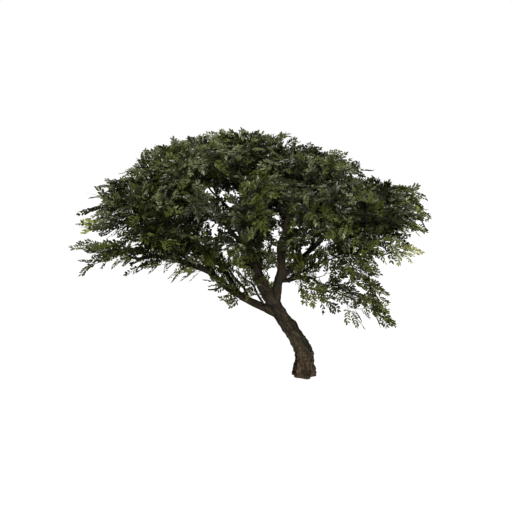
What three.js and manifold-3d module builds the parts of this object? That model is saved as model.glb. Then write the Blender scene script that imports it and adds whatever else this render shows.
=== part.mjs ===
// An umbrella-crowned acacia tree: a leaning trunk that forks twice, boughs that rise and then flatten, and
// a domed crown made of separate masses of twigs and leaves. Millimetres, +Z up, the origin at the middle of
// the trunk's flat cut at ground level. The crown's long side runs along X.
import * as THREE from "three";
import { mergeVertices } from "three/addons/utils/BufferGeometryUtils.js";
import Module from "manifold-3d";

// ---- Driving dimensions ----
const TREE_HEIGHT = 7000;
const CLEARANCE = 0.3; // the gap between solids that meet
const FINEST = 0.05; // detail under this size is left out
const SEED = 7;

const TRUNK = {
  height: 2400, // ground to fork
  lean: 930, // how far the fork stands to -X of the foot
  leanStart: 0.22, // the share of the height that stays upright
  sway: 90, // how far the middle bows towards -Y
  swayStart: 0.05,
  radius: 208, // above the root flare
  topRadius: 190,
  flare: 95, // what the root flare adds to the radius at the ground
  flareHeight: 750,
  flutes: 7,
  fluteDepth: 0.13, // share of the radius, at the ground
  sides: 28,
  rings: 11,
};

// The crown's outer surface about a centre beside the trunk: half an ellipsoid above it, a deeper one below.
const CROWN = { x: -1380, y: 0, z: 3950, halfX: 5080, halfY: 4500, rise: 3080, droop: 3600 };

// One row for each bough and the mass of foliage at its tip.
// at: share along the parent where the bough leaves it. radius: at that end.
// rise: elevation of the bough in degrees where it leaves, and where it enters its mass.
// azimuth (degrees from +X to +Y), reach (share of the crown's half width) and level (share of the tree's
// height) place the mass's middle. across and thick are the mass's half sizes, and slope is how many degrees
// it rises along its azimuth.
const LIMBS = [
  { name: "left", on: "trunk", at: 0.75, radius: 122, rise: [17, -14], azimuth: 184, reach: 0.72,
    level: 0.515, across: 1450, thick: 420, slope: -8 },
  { name: "centre", on: "trunk", at: 0.94, radius: 186, rise: [46, 88], azimuth: 172, reach: 0.015,
    level: 0.85, across: 2000, thick: 830 },
  { name: "right", on: "trunk", at: 0.9, radius: 146, rise: [60, 44], azimuth: 322, reach: 0.28, level: 0.78,
    across: 1600, thick: 800, slope: -6 },
  { name: "left_rim", on: "left", at: 0.3, radius: 78, rise: [62, 16], azimuth: 179, reach: 0.68,
    level: 0.69, across: 1750, thick: 740, slope: -5 },
  { name: "left_rim_front", on: "left_rim", at: 0.4, radius: 56, rise: [38, 8], azimuth: 224, reach: 0.74,
    level: 0.665, across: 1700, thick: 800 },
  { name: "left_rim_back", on: "left_rim", at: 0.3, radius: 58, rise: [38, 8], azimuth: 135, reach: 0.76,
    level: 0.65, across: 1800, thick: 850 },
  { name: "left_skirt_front", on: "left", at: 0.42, radius: 56, rise: [30, 4], azimuth: 223, reach: 0.52,
    level: 0.535, across: 1200, thick: 420 },
  { name: "left_skirt_back", on: "left", at: 0.48, radius: 56, rise: [30, 4], azimuth: 138, reach: 0.58,
    level: 0.5, across: 1300, thick: 450 },
  { name: "crest_left_front", on: "centre", at: 0.2, radius: 92, rise: [52, 30], azimuth: 226, reach: 0.5,
    level: 0.815, across: 1950, thick: 980 },
  { name: "crest_left_back", on: "centre", at: 0.36, radius: 82, rise: [50, 26], azimuth: 132, reach: 0.48,
    level: 0.82, across: 1950, thick: 1000 },
  { name: "rim_front", on: "centre", at: 0.46, radius: 66, rise: [36, 8], azimuth: 268, reach: 0.7,
    level: 0.7, across: 1850, thick: 850 },
  { name: "rim_back", on: "centre", at: 0.42, radius: 70, rise: [38, 8], azimuth: 91, reach: 0.7,
    level: 0.69, across: 1900, thick: 900 },
  { name: "crest_right_back", on: "right", at: 0.35, radius: 80, rise: [56, 30], azimuth: 55, reach: 0.42,
    level: 0.78, across: 1750, thick: 850 },
  { name: "right_rim", on: "right", at: 0.24, radius: 86, rise: [38, 0], azimuth: 2, reach: 0.73,
    level: 0.685, across: 1600, thick: 620, slope: -18 },
  { name: "right_rim_front", on: "right_rim", at: 0.42, radius: 56, rise: [34, 0], azimuth: 313, reach: 0.76,
    level: 0.67, across: 1750, thick: 750, slope: -8 },
  { name: "right_rim_back", on: "right_rim", at: 0.36, radius: 58, rise: [34, 0], azimuth: 48, reach: 0.76,
    level: 0.67, across: 1800, thick: 800, slope: -10 },
  { name: "right_skirt", on: "right", at: 0.24, radius: 70, rise: [-6, -30], azimuth: 353, reach: 0.47,
    level: 0.39, across: 1500, thick: 540, slope: -32 },
  { name: "right_skirt_back", on: "right_skirt", at: 0.3, radius: 50, rise: [26, 0], azimuth: 36,
    reach: 0.58, level: 0.46, across: 1250, thick: 550, slope: -12 },
  { name: "right_skirt_front", on: "right_skirt", at: 0.22, radius: 46, rise: [30, 4], azimuth: 321,
    reach: 0.43, level: 0.44, across: 1100, thick: 480, slope: -14 },
  { name: "inner_left", on: "left", at: 0.22, radius: 42, rise: [52, 30], azimuth: 214, reach: 0.25,
    level: 0.51, across: 1100, thick: 550 },
  { name: "inner_low", on: "left", at: 0.1, radius: 36, rise: [56, 30], azimuth: 205, reach: 0.1,
    level: 0.44, across: 850, thick: 450 },
  { name: "inner_right", on: "right", at: 0.2, radius: 42, rise: [40, 14], azimuth: 60, reach: 0.28,
    level: 0.5, across: 1150, thick: 600 },
  { name: "middle_front", on: "centre", at: 0.12, radius: 46, rise: [34, 14], azimuth: 260, reach: 0.36,
    level: 0.62, across: 1250, thick: 700 },
  { name: "middle_back", on: "centre", at: 0.15, radius: 50, rise: [34, 14], azimuth: 98, reach: 0.34,
    level: 0.6, across: 1250, thick: 700 },
];

// Gaps that let the sky through the crown along Y, falling towards +Y: middle in X and Z, and radius.
const GAPS = [
  { x: -2700, z: 5300, radius: 200 },
  { x: -2100, z: 5150, radius: 300 },
  { x: -2150, z: 4650, radius: 160 },
  { x: -2500, z: 4100, radius: 220 },
  { x: -1900, z: 3950, radius: 180 },
  { x: -850, z: 4650, radius: 160 },
  { x: -800, z: 4100, radius: 200 },
  { x: -1100, z: 3700, radius: 170 },
  { x: 50, z: 3600, radius: 170 },
  { x: 2400, z: 4050, radius: 240 },
  { x: -6350, z: 4400, radius: 200 },
  { x: -6000, z: 3500, radius: 180 },
];
const GAP_FALL = 0.14; // against its length

const BOUGH = { sides: 6, rings: 6, tipShare: 0.42, handle: 0.36, entersAt: 0.75 };
const LEAST_TIP = 26; // no bough's tip is thinner than this, in radius
const DEAD_STUB = { on: "left", at: 0.42, length: 460, azimuth: 200, rise: [-42, -14], root: 34, tip: 20 };

// The rule that twigs and leaves grow by.
const TWIG = {
  stemRings: 3,
  rings: 2,
  sides: 3,
  forks: [0.25, 0.45, 0.7, 0.9], // where along a twig another can start
  stemShare: 0.95, // the stem's root radius as a share of the bough's tip
  stemReach: 0.3, // how far past the mass's middle the stem heads, as a share of its way there
  bend: 0.35, // how far a twig keeps to its parent's direction, as a share of its way
  lengthOfWay: 0.35, // how much a long way back to the stem's root counts against joining a twig there
  rootShare: 0.62, // a twig's root radius as a share of its parent's there
  tipRadius: 13,
};
const ENDS = {
  spacing: 690, // about how far apart a mass's twig ends lie
  candidates: 24,
  tries: 4000, // at most, for all the candidates of an end
  margin: 330, // how far an end keeps from the limits of its space
  overhang: 1.15, // how far leaves may reach, as a share of the mass's size
};
const LEAF = {
  length: 960,
  width: 520,
  thickness: 18,
  widest: 0.58, // where along its length it is widest
  sunk: 0.15, // how far its root lies past the twig's middle, as a share of the twig's radius
  outward: 0.9, // how far it faces out of the crown, against 1 for upwards
  tilt: 0.8, // how far it is turned at random from there
};
// Where the leaves of a twig sit: distance back from its tip, the side they turn to, and their size.
const SPRAY = [
  { back: 12, side: 0, size: 1 },
  { back: 230, side: 1, size: 0.9 },
  { back: 460, side: -1, size: 0.9 },
  { back: 740, side: 1, size: 0.8 },
];
const BARE_SHARE = 0.2; // the share of a twig, from its root, that has no leaves
// What a leaf tries in turn until it fits: its size, its pitch and its turn off the twig in degrees.
const SIZES = [1, 0.8, 0.62];
const PITCHES = [6, -14, 26];
const TURNS = [50, 70, 35];

const PAINT = {
  bark: { color: 0x40382a, roughness: 0.95 },
  foliage: { color: 0x3c4124, roughness: 0.75 },
};

// ---- Helpers ----
const wasm = await Module();
wasm.setup();

const radians = THREE.MathUtils.degToRad;
const point = (x, y, z) => new THREE.Vector3(x, y, z);
const CROWN_MIDDLE = point(CROWN.x, CROWN.y, CROWN.z);

// A seeded generator of numbers from 0 to 1 (mulberry32).
function seeded(seed) {
  let state = seed >>> 0;
  return () => {
    state = (state + 0x6d2b79f5) >>> 0;
    let t = Math.imul(state ^ (state >>> 15), 1 | state);
    t = (t + Math.imul(t ^ (t >>> 7), 61 | t)) ^ t;
    return ((t ^ (t >>> 14)) >>> 0) / 4294967296;
  };
}

function heading(azimuth, rise) {
  const a = radians(azimuth);
  const e = radians(rise);
  return point(Math.cos(a) * Math.cos(e), Math.sin(a) * Math.cos(e), Math.sin(e));
}

function solidOf(geometry) {
  geometry.deleteAttribute("normal");
  geometry.deleteAttribute("uv");
  const merged = mergeVertices(geometry, 1e-3);
  return new wasm.Manifold(
    new wasm.Mesh({
      numProp: 3,
      vertProperties: merged.attributes.position.array,
      triVerts: new Uint32Array(merged.index.array),
    }),
  );
}

function meshOf(name, solid, paint) {
  const { vertProperties, triVerts, numProp } = solid.getMesh();
  const positions = new Float32Array((vertProperties.length / numProp) * 3);
  for (let i = 0; i < positions.length / 3; i++) {
    positions.set(vertProperties.subarray(i * numProp, i * numProp + 3), i * 3);
  }
  const geometry = new THREE.BufferGeometry()
    .setAttribute("position", new THREE.BufferAttribute(positions, 3))
    .setIndex(new THREE.BufferAttribute(triVerts, 1));
  geometry.computeVertexNormals();
  const mesh = new THREE.Mesh(geometry, new THREE.MeshStandardMaterial({ ...paint, metalness: 0 }));
  mesh.name = name;
  return mesh;
}

// A cylinder bent along a curve, with the radius that radiusAt gives at a share of its length and an angle.
// Its ends run on past the curve's by overrun.
function tube(curve, radiusAt, sides, rings, overrun = 0) {
  const geometry = new THREE.CylinderGeometry(1, 1, 1, sides, rings);
  const frames = curve.computeFrenetFrames(rings, false);
  const centres = Array.from({ length: rings + 1 }, (_, i) => curve.getPointAt(i / rings));
  centres[0].addScaledVector(frames.tangents[0], -overrun);
  centres[rings].addScaledVector(frames.tangents[rings], overrun);
  const place = geometry.getAttribute("position");
  const v = point(0, 0, 0);
  for (let i = 0; i < place.count; i++) {
    v.fromBufferAttribute(place, i);
    const ring = Math.round((v.y + 0.5) * rings);
    const outward = Math.hypot(v.x, v.z);
    const angle = Math.atan2(v.z, v.x);
    const radius = outward > 1e-6 ? radiusAt(ring / rings, angle) : 0;
    v.copy(centres[ring])
      .addScaledVector(frames.normals[ring], radius * Math.cos(angle))
      .addScaledVector(frames.binormals[ring], -radius * Math.sin(angle));
    place.setXYZ(i, v.x, v.y, v.z);
  }
  return solidOf(geometry);
}

const taper = (root, tip) => (share) => root + (tip - root) * share;
const meets = (a, b) => a.intersect(b).volume() > 0;

// A point in the cube that reaches 1 each way from the origin.
function anyWay(random) {
  return point(random() * 2 - 1, random() * 2 - 1, random() * 2 - 1);
}

// ---- Trunk and boughs ----
class TrunkLine extends THREE.Curve {
  getPoint(t, target = new THREE.Vector3()) {
    const lean = THREE.MathUtils.smoothstep(t, TRUNK.leanStart, 1);
    const bow = Math.sin(Math.PI * THREE.MathUtils.smoothstep(t, TRUNK.swayStart, 1));
    return target.set(-TRUNK.lean * lean, -TRUNK.sway * bow * bow, TRUNK.height * t);
  }
}

function trunkRadius(share, angle) {
  const height = (share * TRUNK.height) / TRUNK.flareHeight;
  const flare = Math.exp(-height * height);
  const flute = 1 + TRUNK.fluteDepth * flare * Math.cos(TRUNK.flutes * angle);
  return (taper(TRUNK.radius, TRUNK.topRadius)(share) + TRUNK.flare * flare) * flute;
}

function middleOf(limb) {
  const around = radians(limb.azimuth);
  return point(
    CROWN.x + CROWN.halfX * limb.reach * Math.cos(around),
    CROWN.y + CROWN.halfY * limb.reach * Math.sin(around),
    TREE_HEIGHT * limb.level,
  );
}

// A mass's own directions: outwards along its slope, to the side, and over its top.
function axesOf({ azimuth, slope = 0 }) {
  const ahead = heading(azimuth, slope);
  const over = heading(azimuth, slope + 90);
  return [ahead, over.clone().cross(ahead), over];
}

// How far out in its mass a way from the mass's middle reaches: 1 on its surface.
function shareOf({ axes, across, thick }, way) {
  const [ahead, side, over] = axes.map((axis) => way.dot(axis));
  return Math.hypot(ahead / across, side / across, over / thick);
}

// A bough leaves its parent at the stated rise, heads for its mass and ends just inside it.
function boughLine(limb, parent) {
  const start = parent.line.getPointAt(limb.at);
  const way = limb.middle.clone().sub(start);
  const inMass = shareOf(limb, way);
  const end = limb.middle.clone().addScaledVector(way, -BOUGH.entersAt / Math.max(inMass, 1));
  const azimuth = THREE.MathUtils.radToDeg(Math.atan2(way.y, way.x));
  const handle = start.distanceTo(end) * BOUGH.handle;
  return new THREE.CubicBezierCurve3(
    start,
    start.clone().addScaledVector(heading(azimuth, limb.rise[0]), handle),
    end.clone().addScaledVector(heading(azimuth, limb.rise[1]), -handle),
    end,
  );
}

function growLimbs() {
  const trunk = { name: "trunk", line: new TrunkLine() };
  const solid = (grown) =>
    tube(trunk.line, (share, angle) => trunkRadius(share, angle) + grown, TRUNK.sides, TRUNK.rings, grown);
  trunk.solid = solid(0);
  const limbs = new Map([["trunk", trunk]]);
  let taken = solid(CLEARANCE);
  for (const row of LIMBS) {
    const limb = { ...row, middle: middleOf(row), axes: axesOf(row) };
    limb.line = boughLine(limb, limbs.get(limb.on));
    limb.tip = limb.line.getPointAt(1);
    limb.tipRadius = Math.max(limb.radius * BOUGH.tipShare, LEAST_TIP);
    const bough = (grown) =>
      tube(limb.line, taper(limb.radius + grown, limb.tipRadius + grown), BOUGH.sides, BOUGH.rings, grown);
    limb.solid = largest(bough(0).subtract(taken));
    taken = taken.add(bough(CLEARANCE));
    limbs.set(limb.name, limb);
  }
  return { limbs, taken };
}

// A cut or a join can leave a loose scrap or sliver faces: only the piece itself is kept, without them.
function largest(solid) {
  return solid.decompose().sort((a, b) => b.volume() - a.volume())[0].simplify(FINEST);
}

// A dead side branch, bare and broken off short.
function deadStub(limbs, taken) {
  const start = limbs.get(DEAD_STUB.on).line.getPointAt(DEAD_STUB.at);
  const [bend, end] = DEAD_STUB.rise.map((rise, i) =>
    start.clone().addScaledVector(heading(DEAD_STUB.azimuth, rise), (DEAD_STUB.length * (i + 1)) / 2),
  );
  const line = new THREE.QuadraticBezierCurve3(start, bend, end);
  return largest(tube(line, taper(DEAD_STUB.root, DEAD_STUB.tip), BOUGH.sides, BOUGH.rings).subtract(taken));
}

// ---- Foliage ----
function inCrown(p, margin) {
  const height = p.z < CROWN.z ? CROWN.droop : CROWN.rise;
  const d = p.clone().sub(CROWN_MIDDLE);
  const out = Math.hypot(d.x / CROWN.halfX, d.y / CROWN.halfY, d.z / height);
  return out < 1 - margin / height;
}

// Each mass keeps to its own flattened ball, on its own side of the planes between it and its neighbours,
// inside the crown's surface and out of the gaps.
function spaceOf(limb, all) {
  const walls = all
    .filter((other) => other !== limb)
    .map((other) => {
      const way = other.middle.clone().sub(limb.middle);
      const normal = way.clone().normalize();
      const [mine, theirs] = [1 / shareOf(limb, normal), 1 / shareOf(other, normal)];
      const share = mine / (mine + theirs);
      return { normal, limit: way.length() * share - CLEARANCE };
    });
  return (p, margin = 0) => {
    const d = p.clone().sub(limb.middle);
    return (
      shareOf(limb, d) < ENDS.overhang * (1 - margin / limb.across) &&
      inCrown(p, margin) &&
      walls.every((wall) => d.dot(wall.normal) < wall.limit - margin) &&
      GAPS.every((gap) => Math.hypot(p.x - gap.x, p.z + GAP_FALL * p.y - gap.z) > gap.radius + margin)
    );
  };
}

// Evenly scattered twig ends: each is the candidate that lies furthest from those before it.
function scatter(limb, inside, random) {
  const ends = [];
  const size = point(limb.across, limb.across, limb.thick);
  const turned = new THREE.Matrix4().makeBasis(...limb.axes);
  const count = Math.round((limb.across / ENDS.spacing) ** 2);
  while (ends.length < count) {
    let best = null;
    let bestRoom = 0;
    for (let found = 0, tries = 0; found < ENDS.candidates && tries < ENDS.tries; tries++) {
      const p = anyWay(random).multiply(size).applyMatrix4(turned).add(limb.middle);
      if (!inside(p, ENDS.margin)) continue;
      found++;
      const room = Math.min(p.distanceTo(limb.tip), ...ends.map((end) => end.distanceTo(p)));
      if (room > bestRoom) [best, bestRoom] = [p, room];
    }
    if (!best) break;
    ends.push(best);
  }
  return ends;
}

// A twig from a place on the plant to an end, leaving along its parent's direction.
function makeTwig(from, end, root, rings) {
  const bend = from.at.clone().addScaledVector(from.direction, from.at.distanceTo(end) * TWIG.bend);
  const line = new THREE.QuadraticBezierCurve3(from.at, bend, end);
  const length = line.getLength();
  const solid = tube(line, taper(root, TWIG.tipRadius), TWIG.sides, rings);
  return { line, length, root, rings, solid, way: from.way };
}

// A place on a twig at a share of its length, on the straight run between two of its rings.
function placeOn(twig, share) {
  const ring = Math.min(Math.floor(share * twig.rings), twig.rings - 1);
  const from = twig.line.getPointAt(ring / twig.rings);
  const to = twig.line.getPointAt((ring + 1) / twig.rings);
  return {
    at: from.clone().lerp(to, share * twig.rings - ring),
    direction: to.sub(from).normalize(),
    radius: taper(twig.root, TWIG.tipRadius)(share),
    way: twig.way + twig.length * share,
  };
}

// The stem runs on from the bough's tip, and each end is then joined to the place that costs least to reach.
function growTwigs(limb, ends, fits) {
  const outward = limb.line.getTangentAt(1);
  const foot = { at: limb.tip.clone().addScaledVector(outward, CLEARANCE), direction: outward, way: 0 };
  const heart = limb.middle.clone().addScaledVector(limb.middle.clone().sub(limb.tip), TWIG.stemReach);
  const twigs = [makeTwig(foot, heart, limb.tipRadius * TWIG.stemShare, TWIG.stemRings)];
  const places = new Set();
  const addForks = (twig) => TWIG.forks.forEach((share) => places.add(placeOn(twig, share)));
  addForks(twigs[0]);
  const open = new Set(ends);
  while (open.size) {
    let best = { cost: Infinity };
    for (const end of open) {
      for (const place of places) {
        const cost = place.at.distanceTo(end) + TWIG.lengthOfWay * place.way;
        if (cost < best.cost) best = { cost, end, place };
      }
    }
    open.delete(best.end);
    places.delete(best.place);
    const root = Math.max(best.place.radius * TWIG.rootShare, TWIG.tipRadius);
    const twig = makeTwig(best.place, best.end, root, TWIG.rings);
    if (!fits(twig.solid)) continue;
    twigs.push(twig);
    addForks(twig);
  }
  return twigs;
}

// A leaf that stands for a spray: a thin eight-faced blade, widest past its middle, its root in the twig.
function leafSolid(place, facing, size, turn, pitch) {
  const geometry = new THREE.OctahedronGeometry(1, 0);
  const corner = geometry.getAttribute("position");
  for (let i = 0; i < corner.count; i++) {
    const along = corner.getX(i) < -0.5 ? 0 : corner.getX(i) > 0.5 ? 1 : LEAF.widest;
    corner.setXYZ(
      i,
      size * LEAF.length * along - LEAF.sunk * place.radius,
      (corner.getY(i) * size * LEAF.width) / 2,
      (corner.getZ(i) * LEAF.thickness) / 2,
    );
  }
  const side = facing.clone().cross(place.direction).normalize();
  const over = place.direction.clone().cross(side);
  const flat = place.direction.clone().multiplyScalar(Math.cos(turn)).addScaledVector(side, Math.sin(turn));
  const ahead = flat.multiplyScalar(Math.cos(pitch)).addScaledVector(over, Math.sin(pitch));
  const aside = over.cross(ahead).normalize();
  const normal = ahead.clone().cross(aside);
  const seat = new THREE.Matrix4().makeBasis(ahead, aside, normal).setPosition(place.at);
  return solidOf(geometry.applyMatrix4(seat));
}

// Leaves face out of the crown and upwards, each twig's turned a little its own way.
function facingOf(p, random) {
  const out = p.clone().sub(CROWN_MIDDLE).divide(point(CROWN.halfX, CROWN.halfY, CROWN.rise));
  out.normalize().multiplyScalar(LEAF.outward);
  return out.add(point(0, 0, 1)).addScaledVector(anyWay(random), LEAF.tilt);
}

function waysToTry({ size, side }) {
  const turns = side ? TURNS : [0];
  return SIZES.flatMap((smaller) =>
    PITCHES.flatMap((pitch) => turns.map((turn) => ({ size: size * smaller, pitch, turn: turn * side }))),
  );
}

function growLeaves(twig, fits, random) {
  const leaves = [];
  const facing = facingOf(twig.line.getPointAt(1), random);
  for (const seat of SPRAY) {
    const share = 1 - seat.back / twig.length;
    if (share < BARE_SHARE) break;
    const place = placeOn(twig, share);
    for (const { size, pitch, turn } of waysToTry(seat)) {
      const leaf = leafSolid(place, facing, size, radians(turn), radians(pitch));
      if (!fits(leaf, leaves)) continue;
      leaves.push(leaf);
      break;
    }
  }
  return leaves;
}

// A mass of foliage. What would leave the mass's space or touch a limb or another leaf is left out.
function growMass(limb, all, taken) {
  const random = seeded(SEED * 1000 + all.indexOf(limb));
  const inside = spaceOf(limb, all);
  const fits = (solid) => {
    const { vertProperties } = solid.getMesh();
    for (let i = 0; i < vertProperties.length; i += 3) {
      if (!inside(point(...vertProperties.subarray(i, i + 3)))) return false;
    }
    return !meets(solid, taken);
  };
  const twigs = growTwigs(limb, scatter(limb, inside, random), fits);
  const leaves = [];
  for (const twig of twigs) {
    const others = twigs.filter((other) => other !== twig).map((other) => other.solid);
    const near = [...others, ...leaves];
    const clear = (leaf, own) => fits(leaf) && ![...near, ...own].some((solid) => meets(leaf, solid));
    leaves.push(...growLeaves(twig, clear, random));
  }
  return largest(wasm.Manifold.union([...twigs.map((twig) => twig.solid), ...leaves]));
}

// ---- The tree ----
const tree = new THREE.Group();
const { limbs, taken } = growLimbs();
const boughs = [...limbs.values()].filter((limb) => limb.name !== "trunk");
tree.add(meshOf("trunk", limbs.get("trunk").solid, PAINT.bark));
for (const limb of boughs) tree.add(meshOf("bough_" + limb.name, limb.solid, PAINT.bark));
const stub = deadStub(limbs, taken);
tree.add(meshOf("dead_stub", stub, PAINT.bark));
const woody = taken.add(stub);
for (const limb of boughs) {
  tree.add(meshOf("foliage_" + limb.name, growMass(limb, boughs, woody), PAINT.foliage));
}

export default tree;
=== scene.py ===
"""The looks of an umbrella-crowned acacia tree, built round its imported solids. Metres, +Z up.

The limbs and the rule that twigs grow by are those of the solids' source, written again here and carried to
finer twigs. Every leaf is pinnate, with leaflets of its own.
"""

import math
from collections import namedtuple

import bpy
import numpy as np
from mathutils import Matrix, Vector, noise

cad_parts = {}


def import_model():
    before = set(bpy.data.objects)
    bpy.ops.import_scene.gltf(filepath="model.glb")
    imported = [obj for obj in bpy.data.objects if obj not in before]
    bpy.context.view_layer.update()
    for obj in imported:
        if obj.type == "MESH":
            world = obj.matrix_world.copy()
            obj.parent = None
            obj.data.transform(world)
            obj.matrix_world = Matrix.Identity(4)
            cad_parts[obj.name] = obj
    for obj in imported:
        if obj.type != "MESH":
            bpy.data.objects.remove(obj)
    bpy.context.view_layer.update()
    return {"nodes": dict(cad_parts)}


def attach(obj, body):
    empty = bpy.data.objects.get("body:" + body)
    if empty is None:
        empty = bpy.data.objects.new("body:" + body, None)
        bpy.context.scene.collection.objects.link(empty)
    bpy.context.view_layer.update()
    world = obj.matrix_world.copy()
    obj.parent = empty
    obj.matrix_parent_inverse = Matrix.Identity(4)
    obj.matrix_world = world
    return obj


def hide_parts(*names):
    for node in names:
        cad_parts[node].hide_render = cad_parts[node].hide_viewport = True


# ---- The tree's sizes, as in the solids ----
SEED = 7
TREE_HEIGHT = 7.0
CURVE_POINTS = 201  # on a limb's line
SHORT_STEP = 0.01  # along it, as a share of its length, to find its direction
UP = np.array((0.0, 0.0, 1.0))

TRUNK_HEIGHT = 2.4  # ground to fork
TRUNK_LEAN = 0.93  # how far the fork stands to -X of the foot
LEAN_START = 0.22  # the share of the height that stays upright
TRUNK_SWAY = 0.09  # how far the middle bows towards -Y
SWAY_START = 0.05
TRUNK_RADII = (0.208, 0.19)  # above the root flare, and at the top
FLARE = 0.095  # what the root flare adds to the radius at the ground
FLARE_HEIGHT = 0.75
FLUTES = 7
FLUTE_DEPTH = 0.13  # share of the radius, at the ground

# The crown's outer surface: half an ellipsoid above its middle, a deeper one below.
CROWN_MIDDLE = np.array((-1.38, 0.0, 3.95))
CROWN_HALF = (5.08, 4.5)
CROWN_RISE = 3.08
CROWN_DROOP = 3.6

# name, parent, share along it, radius there, rise where it leaves and enters its mass, then the mass's
# azimuth, reach and level, its half sizes across and upwards, and its slope along the azimuth in degrees
LIMBS = [
    ("left", "trunk", 0.75, 0.122, (17, -14), 184, 0.72, 0.515, 1.45, 0.42, -8),
    ("centre", "trunk", 0.94, 0.186, (46, 88), 172, 0.015, 0.85, 2.0, 0.83, 0),
    ("right", "trunk", 0.9, 0.146, (60, 44), 322, 0.28, 0.78, 1.6, 0.8, -6),
    ("left_rim", "left", 0.3, 0.078, (62, 16), 179, 0.68, 0.69, 1.75, 0.74, -5),
    ("left_rim_front", "left_rim", 0.4, 0.056, (38, 8), 224, 0.74, 0.665, 1.7, 0.8, 0),
    ("left_rim_back", "left_rim", 0.3, 0.058, (38, 8), 135, 0.76, 0.65, 1.8, 0.85, 0),
    ("left_skirt_front", "left", 0.42, 0.056, (30, 4), 223, 0.52, 0.535, 1.2, 0.42, 0),
    ("left_skirt_back", "left", 0.48, 0.056, (30, 4), 138, 0.58, 0.5, 1.3, 0.45, 0),
    ("crest_left_front", "centre", 0.2, 0.092, (52, 30), 226, 0.5, 0.815, 1.95, 0.98, 0),
    ("crest_left_back", "centre", 0.36, 0.082, (50, 26), 132, 0.48, 0.82, 1.95, 1.0, 0),
    ("rim_front", "centre", 0.46, 0.066, (36, 8), 268, 0.7, 0.7, 1.85, 0.85, 0),
    ("rim_back", "centre", 0.42, 0.07, (38, 8), 91, 0.7, 0.69, 1.9, 0.9, 0),
    ("crest_right_back", "right", 0.35, 0.08, (56, 30), 55, 0.42, 0.78, 1.75, 0.85, 0),
    ("right_rim", "right", 0.24, 0.086, (38, 0), 2, 0.73, 0.685, 1.6, 0.62, -18),
    ("right_rim_front", "right_rim", 0.42, 0.056, (34, 0), 313, 0.76, 0.67, 1.75, 0.75, -8),
    ("right_rim_back", "right_rim", 0.36, 0.058, (34, 0), 48, 0.76, 0.67, 1.8, 0.8, -10),
    ("right_skirt", "right", 0.24, 0.07, (-6, -30), 353, 0.47, 0.39, 1.5, 0.54, -32),
    ("right_skirt_back", "right_skirt", 0.3, 0.05, (26, 0), 36, 0.58, 0.46, 1.25, 0.55, -12),
    ("right_skirt_front", "right_skirt", 0.22, 0.046, (30, 4), 321, 0.43, 0.44, 1.1, 0.48, -14),
    ("inner_left", "left", 0.22, 0.042, (52, 30), 214, 0.25, 0.51, 1.1, 0.55, 0),
    ("inner_low", "left", 0.1, 0.036, (56, 30), 205, 0.1, 0.44, 0.85, 0.45, 0),
    ("inner_right", "right", 0.2, 0.042, (40, 14), 60, 0.28, 0.5, 1.15, 0.6, 0),
    ("middle_front", "centre", 0.12, 0.046, (34, 14), 260, 0.36, 0.62, 1.25, 0.7, 0),
    ("middle_back", "centre", 0.15, 0.05, (34, 14), 98, 0.34, 0.6, 1.25, 0.7, 0),
]
BOUGH_TIP_SHARE = 0.42  # a bough's radius at its tip, as a share of its root's
WOBBLE = 0.045  # how far a bough's line strays from its curve
WOBBLE_LENGTH = 1.1  # along the bough, from one bend to the next that way
WOBBLE_PACES = (1, 0.8, 0.6)  # how often it bends along X, Y and Z
WOBBLE_PHASES = ((3, 7, 5), (8, 2, 6), (4, 9, 1))  # what turns a mass's middle into where the bends start
LEAST_TIP = 0.026  # no bough's tip is thinner than this, in radius
BOUGH_HANDLE = 0.36  # how far a bough keeps to the rise at each of its ends, as a share of its way
ENTERS_AT = 0.75  # how far out in its mass a bough ends, against 1 on its surface

# Gaps that let the sky through the crown along Y, falling towards +Y: middle in X and Z, and radius.
GAPS = np.array([
    (-2.7, 5.3, 0.2),
    (-2.1, 5.15, 0.3),
    (-2.15, 4.65, 0.16),
    (-2.5, 4.1, 0.22),
    (-1.9, 3.95, 0.18),
    (-0.85, 4.65, 0.16),
    (-0.8, 4.1, 0.2),
    (-1.1, 3.7, 0.17),
    (0.05, 3.6, 0.17),
    (2.4, 4.05, 0.24),
    (-6.35, 4.4, 0.2),
    (-6.0, 3.5, 0.18),
])
GAP_FALL = 0.14  # against its length

# The crown's rim, at the ends of its length, and its foot. Both are thinner, and get fresher green, lighter
# tints that are partly painted light.
RIM = (0.7, 0.95)  # shares of the crown's half length where its rim begins, and is all rim
FOOT = (3.4, 4.4)  # heights where the foot is all foot, and ends
# The low end that the trunk leans to is the thinnest.
END = (1.8, 4.4)  # how far to -X of the crown's middle it begins, and is all end
END_TOP = (4.2, 5.4)  # heights where it is all end, and is over

# A dead side branch: its parent, the share along that, and its own sizes.
STUB = {"on": "left", "at": 0.42, "azimuth": 200, "rise": (-42, -14), "length": 0.46, "radii": (0.034, 0.02)}

# ---- How twigs grow ----
FORKS = (0.25, 0.45, 0.7, 0.9)  # where along a twig another can start
STEM_SHARE = 0.95  # the stem's root radius as a share of the bough's tip
STEM_REACH = 0.3  # how far past the mass's middle the stem heads, as a share of its way there
BEND = 0.35  # how far a twig keeps to its parent's direction, as a share of its way
BULGE = 0.1  # about how far that takes its middle off the straight way, as a share
LENGTH_OF_WAY = 0.35  # how much a long way back to the stem's root counts against joining a twig there
ROOT_SHARE = 0.62  # a twig's root radius as a share of its parent's there
OVERHANG = 1.15  # how far twigs and leaves may reach, as a share of the mass's size
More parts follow.
